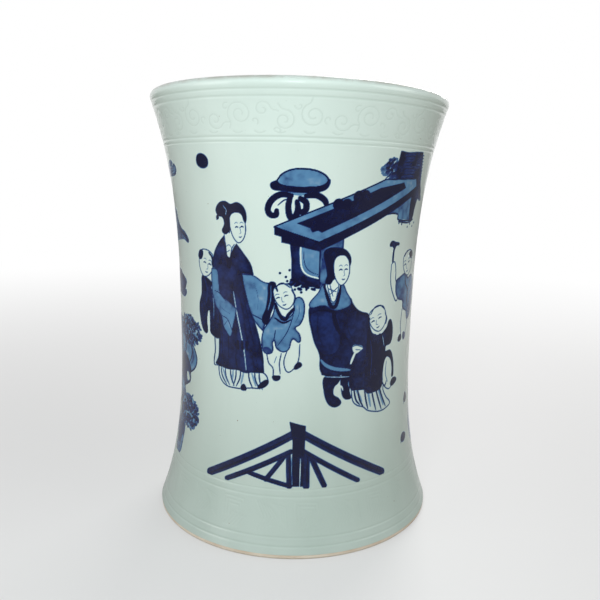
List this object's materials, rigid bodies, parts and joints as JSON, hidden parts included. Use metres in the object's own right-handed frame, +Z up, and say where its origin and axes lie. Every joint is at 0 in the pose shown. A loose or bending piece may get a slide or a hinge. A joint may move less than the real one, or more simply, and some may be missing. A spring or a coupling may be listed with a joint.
{
  "type": "brush holder pot",
  "caption": "Waisted porcelain brush pot, open at the top, with a flared rim and foot, a luted base slab and a clear glaze over blue underglaze painting.",
  "frame": {"origin": "on the surface the pot stands on, at the middle of the foot ring", "axes": "+Z up along the pot's axis; -Y is the side that carries the painted scene shown first, +X is to its right"},
  "size_m": [0.1476, 0.1476, 0.21],
  "materials": {
    "porcelain": "fired, bare and matt at the foot ring",
    "slip": "fired slip, matt",
    "glaze": "glossy clear glaze with a faint green-blue cast",
    "cobalt": "underglaze cobalt blue painting, glossy under the glaze"
  },
  "bodies": {
    "root": {"thrown_wall": "porcelain", "base_slab": "porcelain", "luting_slip": "slip", "outer_glaze": "glaze", "inner_glaze": "glaze", "base_glaze": "glaze"}
  },
  "joints": []
}
